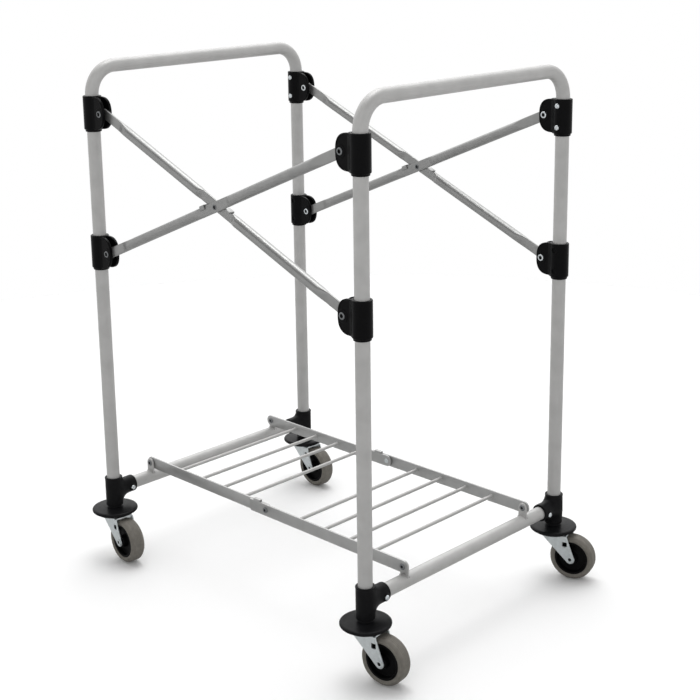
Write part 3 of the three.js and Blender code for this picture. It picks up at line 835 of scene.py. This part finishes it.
def casting_field(p):
    """The corner casting with its leg on Z, its arm toward +Y and its screw toward +X."""
    x, y, z = p.T
    out = np.hypot(x, y)
    sleeve = soft_max(out - CASTING_R, band(z, CASTING_BOTTOM, CASTING_TOP), 1.2)
    lip = soft_max(out - CASTING_R - 0.5, band(z, CASTING_TOP - 2.6, CASTING_TOP), 1.0)
    along = np.hypot(x, z - CROSS_Z)
    arm = soft_max(along - CASTING_R, band(y, 0, CASTING_ARM), 2.2)
    body = soft_min(soft_min(sleeve, lip, 0.6), arm, 11.0)
    slope = (y - 17.0) * 0.72 - (z - CROSS_Z + CASTING_R + 2.5) * 0.69
    gusset = np.maximum(np.maximum(slope, CASTING_BOTTOM + 3 - z), np.maximum(-y, z - CROSS_Z))
    gusset = soft_max(gusset, np.abs(x) - 5.5, 1.5)
    body = soft_min(body, gusset, 4.0)
    near_screw = np.hypot(y - CASTING_SCREW_Y, z - CASTING_SCREW_Z)
    seat = soft_max(near_screw - 6.0, np.abs(x - 8) - 7.2, 1.0)
    body = soft_min(body, seat, 2.2)
    body = soft_max(body, band(z, CASTING_BOTTOM, 200), 0.8)
    leg_bore = np.maximum(out - BORE_R, CASTING_BOTTOM + CASTING_FLOOR - z)
    arm_bore = np.maximum(along - BORE_R, CASTING_R + 0.2 - y)
    return np.maximum(soft_max(body, -leg_bore, 0.4), -arm_bore)


def build_castings():
    low, high = (-18.5, -17.3, 92), (18.5, 41.9, 145.5)
    solid = skin(casting_field, low, high, PLASTIC_STEP)
    meshes = both_hands("corner_foot", solid, 60)
    for number, corner in enumerate(CORNERS):
        x, y, _ = middle("bumper_" + corner)
        inward = -1 if is_far(corner) else 1
        body = frame_body(corner)
        piece(
            "corner_foot_" + corner, meshes[is_far(corner)], foot_plastic, body,
            place(x, y, 0), ["corner_casting_" + corner],
        )
        add_screw(
            "foot_screw_" + corner, (x + SCREW_SEAT, y + inward * CASTING_SCREW_Y, CASTING_SCREW_Z), (1, 0, 0),
            0.5 + 0.9 * number, body,
        )


def build_bumpers():
    rim_top = BUMPER_BOTTOM + BUMPER_RIM
    hub_top = CASTING_BOTTOM - 0.3
    hub = softened(
        [
            (STEM_R + 0.6, hub_top), (BUMPER_HUB_R, hub_top), (BUMPER_HUB_R + 0.3, hub_top - 2.6),
            (BUMPER_R - 3.0, rim_top), (BUMPER_R, rim_top - 1.4), (BUMPER_R, BUMPER_BOTTOM + 1.6),
            (BUMPER_R - 2.2, BUMPER_BOTTOM), (BUMPER_SKIRT_R, BUMPER_BOTTOM),
            (BUMPER_SKIRT_R - 0.4, BUMPER_BOTTOM - BUMPER_SKIRT),
            (STEM_R + 0.6, BUMPER_BOTTOM - BUMPER_SKIRT),
        ],
        1.5, 4,
    )
    mesh = mesh_of("bumper_ring", *turned(hub, 96))
    for corner in CORNERS:
        x, y, _ = middle("bumper_" + corner)
        body = frame_body(corner)
        piece(
            "bumper_ring_" + corner, mesh, bumper_plastic, body, place(x, y, 0),
            ["bumper_" + corner],
        )


# ---------------------------------------------------------------- casters

def leg_side_outline():
    """A fork leg from the side: from the crown's two ends to the round eye about the axle."""
    eye = arc((TRAIL, WHEEL_R), FORK_EYE_R, 222, 371, 22)
    front = [(FORK_FRONT, FORK_TOP + 4), (FORK_FRONT, FORK_TOP - FORK_PLATE)]
    return np.array(front + eye + [(FORK_BACK + 5, FORK_TOP + 4)])


FORK_SIDE = leg_side_outline()


def fork_field(p):
    """The pressed fork about its swivel axis, with the wheel toward +X."""
    x, y, z = p.T
    outer_y, inner_y = np.abs(y) - FORK_INNER - FORK_PLATE, np.abs(y) - FORK_INNER
    outer = soft_max(outer_y, z - FORK_TOP, 5.0)
    inner = soft_max(inner_y, z - FORK_TOP + FORK_PLATE, 2.2)
    shell = soft_max(outer, -inner, 0.3)
    side = outline_distance(x, z, FORK_SIDE)
    body = soft_max(shell, side, 0.6)
    race = soft_max(np.hypot(x, y) - RACE_R, band(z, FORK_TOP - 1, FORK_TOP + 0.1), 0.5)
    body = soft_min(body, race, 0.8)
    u, v = x - FORK_WINDOW[0], z - FORK_WINDOW[1]
    window = soft_max(np.abs(u) - FORK_WINDOW_HALF, np.abs(v) - FORK_WINDOW_HALF, 1.2)
    body = soft_max(body, -np.maximum(window, z - FORK_TOP + 5), 0.4)
    return np.maximum(body, AXLE_R + 0.15 - np.hypot(x - TRAIL, z - WHEEL_R))


def tyre_profile():
    """The tyre's section, with a bulged side wall, a round shoulder and shallow tread lines."""
    inner = HUB_R + 0.3
    side = [
        (inner, WHEEL_HALF - 2.2), (inner + 2.2, WHEEL_HALF - 0.5), (inner + 5.2, WHEEL_HALF),
        (WHEEL_R - 3.6, WHEEL_HALF - 1.1), (WHEEL_R - 1.0, WHEEL_HALF - 3.3),
        (WHEEL_R, WHEEL_HALF - 6.0),
    ]
    side = softened(side, 2.5, 4, closed=False).tolist()
    tread = []
    for line in (4.5, 1.5, -1.5, -4.5):
        tread += [(WHEEL_R, line + 0.45), (WHEEL_R - 0.3, line), (WHEEL_R, line - 0.45)]
    return side + tread + [(r, -h) for r, h in side[::-1]]


def hub_profile():
    """The hub's section: a raised rim, a recessed disc and a boss, the same on both faces."""
    face = softened(
        [
            (AXLE_R + 0.2, HUB_BOSS_HALF), (8.2, HUB_BOSS_HALF), (9.4, HUB_BOSS_HALF - 1.4),
            (10.6, 5.0), (HUB_R - 4.6, 4.2), (HUB_R - 3.4, WHEEL_HALF - 3.0),
            (HUB_R - 2.6, WHEEL_HALF - 1.6), (HUB_R, WHEEL_HALF - 1.9),
        ],
        1.0, 3, closed=False,
    )
    return np.concatenate([face, face[::-1] * [1, -1]])


def axle_profile():
    """The axle rivet: a rolled head with a dished middle at each end."""
    half = FORK_INNER + FORK_PLATE + 0.1
    head = softened(
        [
            (0, half + 0.1), (3.1, half + 0.25), (3.9, half + 1.5), (5.2, half + 1.2), (5.7, half),
            (AXLE_R, half),
        ],
        0.6, 3, closed=False,
    )
    return np.concatenate([head, head[::-1] * [1, -1]])


def build_casters():
    low, high = (-22.6, -23.1, 28.5), (45.5, 23.1, 80.3)
    fork = skin(fork_field, low, high, FORK_STEP)
    stem = turned([(0, FORK_TOP - 2), (STEM_R, FORK_TOP - 2), (STEM_R, STEM_TOP), (0, STEM_TOP)], 32)
    fork_mesh = mesh_of("caster_fork", *joined(fork, stem), sharp=60)
    tyre_mesh = mesh_of("tyre", *turned(tyre_profile(), 96, "Y"))
    hub_mesh = mesh_of("hub", *turned(hub_profile(), 72, "Y"))
    # the axle's dished middles get painted shade
    axle_mesh = metals(mesh_of("axle", *turned(axle_profile(), 40, "Y")), AXLE_PAINTED_SHADE_R, zinc)
    for corner in CORNERS:
        x, y, _ = middle("bumper_" + corner)
        axle = middle("wheel_axle_" + corner)
        turn = math.atan2(axle.y - y, axle.x - x)
        at_axle = place(axle.x, axle.y, axle.z, turn)
        piece(
            "caster_yoke_" + corner, fork_mesh, zinc, "caster_" + corner,
            place(x, y, 0, turn), ["caster_fork_" + corner],
        )
        piece(
            "axle_rivet_" + corner, axle_mesh, zinc, "caster_" + corner, at_axle,
            ["wheel_axle_" + corner],
        )
        piece(
            "tyre_" + corner, tyre_mesh, tyre_grey, "wheel_" + corner, at_axle,
            ["wheel_tyre_" + corner],
        )
        piece(
            "hub_" + corner, hub_mesh, hub_plastic, "wheel_" + corner, at_axle,
            ["wheel_hub_" + corner],
        )


# ---------------------------------------------------------------- braces

def brace_section(inner, outer, limit=None, sides=48):
    """A brace's section as (z, y), each side flat at 0 and round at 1, about the same middle plane."""
    angles = (np.arange(sides) + 0.5) * 2 * math.pi / sides
    roundness = np.where(np.sin(angles) < 0, inner, outer)
    half = BRACE_FLAT_HALF + (BRACE_R - BRACE_FLAT_HALF) * roundness
    depth = BRACE_FLAT / 2 + (BRACE_R - BRACE_FLAT / 2) * roundness
    power = 0.45 + 0.55 * roundness
    across = half * np.sign(np.cos(angles)) * np.abs(np.cos(angles)) ** power
    up = depth * np.sign(np.sin(angles)) * np.abs(np.sin(angles)) ** power
    if limit is not None:
        across = np.clip(across, -limit, limit)
    return np.stack([across, BRACE_GAP + BRACE_FLAT / 2 + up], 1)


def brace_solid(half_length):
    """A brace along X, flat at both ends and in the middle, with its round ends cut about the pins."""
    end_from, end_to = (half_length - distance for distance in END_PINCH)
    ends = np.radians([15, 30, 42, 54, 64, 73, 81, 87])
    at = np.concatenate([
        [0, 12, 22],
        np.linspace(OUTER_PINCH[0], OUTER_PINCH[1], 16),
        np.linspace(OUTER_PINCH[1] + 10, end_from - 10, 9),
        np.linspace(end_from, end_to, 13),
        [end_to + 12, half_length],
        half_length + BRACE_FLAT_HALF * np.sin(ends),
    ])
    limits = [None] * (len(at) - len(ends)) + list(BRACE_FLAT_HALF * np.cos(ends))
    closing = 1 - step_up(at, end_from, end_to)
    inner = step_up(at, *INNER_PINCH) * closing
    outer = step_up(at, *OUTER_PINCH) * closing
    stations = list(zip(at, inner, outer, limits))
    stations = [(-x, *rest) for x, *rest in stations[:0:-1]] + stations
    rings = []
    for x, inward, outward, limit in stations:
        section = brace_section(inward, outward, limit)
        rings.append(np.column_stack([np.full(len(section), x), section[:, 1], section[:, 0]]))
    return loft(rings)


def stop_tab():
    """The bent tab: its foot on the brace's outer face, then over the edge and past the other brace."""
    top = BRACE_FLAT_HALF + STOP_RISE
    face = BRACE_GAP + BRACE_FLAT
    outer = softened(
        [(face, STOP_FOOT), (face + STOP_THICK, STOP_FOOT), (face + STOP_THICK, top), (-face, top)], 1.3, 4,
        closed=False,
    )
    outline = np.concatenate([outer, [(-face, BRACE_FLAT_HALF + 0.05), (face, BRACE_FLAT_HALF + 0.05)]])
    points, faces = plate(outline, -STOP_LENGTH / 2, STOP_LENGTH / 2, 0.5)
    points = np.column_stack([points[:, 1] + STOP_AT, points[:, 0], points[:, 2]])
    return points, [face[::-1] for face in faces]


def build_braces():
    upper_left = middle("upper_clamp_pin_near_left")
    lower_right = middle("lower_clamp_pin_near_right")
    run, drop = lower_right.x - upper_left.x, upper_left.z - lower_right.z
    tilt = math.atan2(drop, run)
    brace_mesh = mesh_of("brace", *brace_solid(math.hypot(run, drop) / 2), sharp=50)
    tab_mesh = mesh_of("stop_tab", *stop_tab())
    rivet_mesh = mesh_of("cross_rivet", *rivet(CROSS_RIVET, BRACE_GAP + BRACE_FLAT + HEAD_GAP / 2))
    metals(rivet_mesh, CROSS_RIVET[-1], dull_zinc)
    for side in ("near", "far"):
        centre = middle("brace_rivet_" + side)
        for kind, angle, spin in (("falling", tilt, 0.0), ("rising", -tilt, math.pi)):
            body = "%s_%s" % (kind, side)
            at = place(*centre, 0, angle, spin)
            piece(
                "%s_bar_%s" % (kind, side), brace_mesh, brace_coat, body, at,
                ["%s_brace_%s" % (kind, side)],
            )
            piece("%s_stop_tab_%s" % (kind, side), tab_mesh, brace_coat, body, at)
        piece(
            "cross_rivet_" + side, rivet_mesh, dull_zinc, "falling_" + side, place(*centre),
            ["brace_rivet_" + side],
        )


# ---------------------------------------------------------------- shelf

def bar_outline(length, overrun):
    """A shelf bar from its end pin at x = 0, round at that end, to beyond the centre pin."""
    start = arc((0, 0), BAR_HALF, 90, 270, 28)
    if overrun > BAR_HALF:
        end = [
            (length + overrun - 3, -BAR_HALF),
            (length + overrun, -BAR_HALF + 3),
            (length + overrun, BAR_HALF - 0.8),
            (length + overrun - 0.8, BAR_HALF),
        ]
    else:
        end = arc((length, 0), BAR_HALF, -90, 90, 28)
    return np.array(start + end)


def shelf_wire(reach):
    """A wire along Y with a small weld fillet at each end."""
    fillet = [(WIRE_R + 1.1 * math.exp(-t / 0.7), t - reach) for t in (0.0, 0.3, 0.8, 1.6, 3.0)]
    middle_part = [(WIRE_R, y) for y in np.linspace(-reach + 12, reach - 12, 12)]
    other_fillet = [(r, -y) for r, y in fillet[::-1]]
    return turned([(0, -reach)] + fillet + middle_part + other_fillet + [(0, reach)], 28, "Y")


def shelf_stop(outer):
    """The tab bent in from the right bar's top edge, for the far side, from outer toward y = 0."""
    near, far = SHELF_STOP
    low = BAR_HALF + 0.4
    inner = outer - 2 * BAR_THICK - 0.5
    top = low + BAR_THICK
    over = [(outer, -2), (outer, top), (inner, top), (inner, low)]
    under = [(inner, low), (outer - BAR_THICK, low), (outer - BAR_THICK, -2)]
    over = softened(over, 2.4, 4, closed=False)
    under = softened(under, 0.7, 2, closed=False)
    outline = np.concatenate([over, under[1:]])
    points, faces = plate(outline, near, far, 0.5)
    points = np.column_stack([points[:, 1], points[:, 0], points[:, 2]])
    return points, [face[::-1] for face in faces]


def build_shelf():
    for end in ("left", "right"):
        body = "shelf_" + end
        pin = middle("shelf_end_pin_near_" + end)
        centre = middle("shelf_centre_pin_near")
        length = abs(centre.x - pin.x)
        overrun = BAR_OVERRUN if end == "right" else 0
        turn = math.pi if end == "right" else 0
        outline = bar_outline(length, overrun)
        bar = mesh_of("shelf_bar", *plate(outline, -BAR_THICK / 2, BAR_THICK / 2, 0.5))
        reach = bar_y("far", end) - BAR_THICK / 2 + 0.2
        wire = mesh_of("shelf_wire", *shelf_wire(reach))
        for side in ("near", "far"):
            made = piece(
                "shelf_bar_%s_%s" % (side, end), bar, bar_coat_painted_lighter, body,
                place(pin.x, bar_y(side, end), pin.z, turn),
            )
        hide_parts("shelf_half_" + end)
        inward = -1 if end == "right" else 1
        for number, distance in enumerate(WIRES_FROM_END):
            piece(
                "shelf_wire_%s_%d" % (end, number + 1), wire, wire_coat, body,
                place(pin.x + inward * distance, 0, pin.z),
            )
        for side in ("near", "far"):
            build_end_pin(side, end)
    build_centre()


def build_end_pin(side, end):
    """The rivet through a lug and the bar beside it."""
    node = "shelf_end_pin_%s_%s" % (side, end)
    at = middle(node)
    half = (bar_y(side, end) - lug_y(side, end)) / 2
    pin = mesh_of("lug_rivet", *rivet(LUG_RIVET, abs(half) + BAR_THICK / 2 + HEAD_GAP))
    metals(pin, LUG_RIVET[-1], dull_zinc)
    piece("lug_rivet_%s_%s" % (side, end), pin, dull_zinc, body_of_node(node), place(*at), [node])


def body_of_node(node):
    """The CAD body that a node rides on."""
    parent = frame["nodes"][node].parent
    return next(name for name, empty in frame["bodies"].items() if empty == parent)


def build_centre():
    """The shelf's centre rivets, their tails on the left half's bars, and the two stop tabs."""
    centre = middle("shelf_centre_pin_near")
    head = rivet(CENTRE_RIVET, BAR_THICK / 2 + HEAD_GAP, one_sided=-BAR_THICK / 2)
    heads = both_hands("centre_rivet", head)
    for mesh in heads.values():
        metals(mesh, CENTRE_RIVET[-1], dull_zinc)
    tails = both_hands("rivet_tail", rivet(TAIL_RIVET, BAR_THICK / 2, one_sided=-BAR_THICK / 2))
    tab = shelf_stop(bar_y("far", "right") + BAR_THICK / 2 - STOP_SUNK)
    tabs = both_hands("shelf_stop", mirrored(tab, 0))
    for side in ("near", "far"):
        node = "shelf_centre_pin_" + side
        near = side == "near"
        piece(
            "centre_rivet_" + side, heads[near], dull_zinc, body_of_node(node),
            place(centre.x, bar_y(side, "right"), centre.z), [node],
        )
        piece(
            "rivet_tail_" + side, tails[not near], zinc, "shelf_left",
            place(centre.x, bar_y(side, "left"), centre.z),
        )
        piece(
            "shelf_stop_" + side, tabs[near], bar_coat_painted_lighter, "shelf_right",
            place(centre.x, 0, centre.z),
        )


# ---------------------------------------------------------------- studio

SKY_TOP = 3.0                      # radiance of the bright overhead patch
SKY_PATCH = (-0.35, 0.36, 0.86)    # where the patch is: overhead, and a little behind the cart
SKY_FOCUS = 5.0                    # how tightly the patch is gathered
WALLS = 0.85                       # radiance of the room's walls
WALLS_FADE = (0.45, 0.72)          # heights between which the walls darken into the ceiling
CEILING = 0.04
FLOOR_R = 2.0                      # metres
FLOOR_PALE = 0.92                  # the floor's own grey
FLOOR_BOUNCE = 0.55                # of the light that the floor gives back to the cart
LIGHTS_TARGET = (0, 0, 0.5)


def build_sky():
    """Pale walls, a dark ceiling and a soft overhead patch of light, all white to the camera."""
    world = bpy.data.worlds.new("surround")
    bpy.context.scene.world = world
    world.use_nodes = True
    tree = world.node_tree
    background = next(n for n in tree.nodes if n.type == "BACKGROUND")
    way = add_node(tree, "ShaderNodeTexCoord").outputs["Generated"]
    height = add_node(tree, "ShaderNodeSeparateXYZ", {"Vector": way}).outputs["Z"]
    limits = zip(("From Min", "From Max", "To Min", "To Max"), (*WALLS_FADE, WALLS, CEILING))
    walls = add_node(
        tree, "ShaderNodeMapRange", {"Value": height}, interpolation_type="SMOOTHSTEP", **dict(limits)
    )
    toward = add_node(tree, "ShaderNodeVectorMath", {0: way}, operation="DOT_PRODUCT")
    toward.inputs[1].default_value = Vector(SKY_PATCH).normalized()
    light = toward.outputs["Value"]
    for operation, value in (("MAXIMUM", 0.0), ("POWER", SKY_FOCUS), ("MULTIPLY", SKY_TOP)):
        step = add_node(tree, "ShaderNodeMath", {0: light}, operation=operation)
        step.inputs[1].default_value = value
        light = step.outputs["Value"]
    light = add_node(tree, "ShaderNodeMath", {0: light, 1: walls.outputs["Result"]}, operation="ADD")
    seen = add_node(tree, "ShaderNodeLightPath").outputs["Is Camera Ray"]
    white = add_node(tree, "ShaderNodeMix", {"Factor": seen, "A": light.outputs["Value"]}, B=1.0)
    tree.links.new(white.outputs["Result"], background.inputs["Strength"])
    background.inputs["Color"].default_value = (1, 1, 1, 1)


def paper_floor():
    """A matt floor, pale to the camera, that sends only part of its light back up."""
    paper = Finish("paper", (FLOOR_PALE,) * 3, 0.0, 0.9)
    paper.set("Specular IOR Level", 0.0)
    seen = paper.node("ShaderNodeLightPath").outputs["Is Camera Ray"]
    paper.tint(seen, (FLOOR_BOUNCE,) * 3, (FLOOR_PALE,) * 3, 0.0, 1.0)
    return paper.material


def build_studio():
    """A pale floor under a soft sky, with area lights for the highlights."""
    mesh = bpy.data.meshes.new("floor")
    rim = circle(FLOOR_R, 96)
    mesh.from_pydata([(x, y, 0) for x, y in rim], [], [list(range(len(rim)))])
    floor = bpy.data.objects.new("floor", mesh)
    mesh.materials.append(paper_floor())
    bpy.context.scene.collection.objects.link(floor)
    build_sky()
    add_light("key", (1.2, -2.2, 2.6), 1.6, 5)
    add_light("top", (-0.3, 0.3, 2.6), 1.2, 10)


def add_light(name, place_at, size, power):
    """A soft round light, aimed at the cart."""
    data = bpy.data.lights.new(name, "AREA")
    data.shape = "DISK"
    data.size = size
    data.energy = power
    light = bpy.data.objects.new(name, data)
    light.location = place_at
    aim = Vector(LIGHTS_TARGET) - Vector(place_at)
    light.rotation_euler = aim.to_track_quat("-Z", "Y").to_euler()
    bpy.context.scene.collection.objects.link(light)


CAMERA_AZIMUTH = 43.69             # degrees round the cart, from straight on its near side
CAMERA_ELEVATION = 13.99
CAMERA_ROLL = -0.51
CAMERA_DISTANCE = 2.22815          # metres from the target
CAMERA_TARGET = (0.13157, -0.02235, 0.5610)   # from the middle of the four legs, on the floor
CAMERA_LENS = 73.25
CAMERA_SHIFT = (-0.0348, -0.1249)


def build_camera():
    legs = sum((middle("bumper_" + corner) for corner in CORNERS), Vector()) / 4 * MM
    target = Vector(CAMERA_TARGET) + Vector((legs.x, legs.y, 0))
    azimuth, elevation = math.radians(CAMERA_AZIMUTH), math.radians(CAMERA_ELEVATION)
    back = Vector((
        math.sin(azimuth) * math.cos(elevation),
        -math.cos(azimuth) * math.cos(elevation),
        math.sin(elevation),
    ))
    right = Vector((math.cos(azimuth), math.sin(azimuth), 0))
    up = back.cross(right)
    roll = math.radians(CAMERA_ROLL)
    across = right * math.cos(roll) + up * math.sin(roll)
    above = up * math.cos(roll) - right * math.sin(roll)
    data = bpy.data.cameras.new("camera")
    data.sensor_width = 36
    data.lens = CAMERA_LENS
    data.shift_x, data.shift_y = CAMERA_SHIFT
    data.clip_end = 200
    camera = bpy.data.objects.new("camera", data)
    turn = Matrix((across, above, back)).transposed().to_4x4()
    camera.matrix_world = Matrix.Translation(target + back * CAMERA_DISTANCE) @ turn
    bpy.context.scene.collection.objects.link(camera)
    bpy.context.scene.camera = camera


build_camera()
for end_name in ("left", "right"):
    build_end_frame(end_name)
build_clamps()
build_castings()
build_bumpers()
build_casters()
build_braces()
build_shelf()
build_studio()
bpy.context.scene.view_settings.view_transform = "Standard"
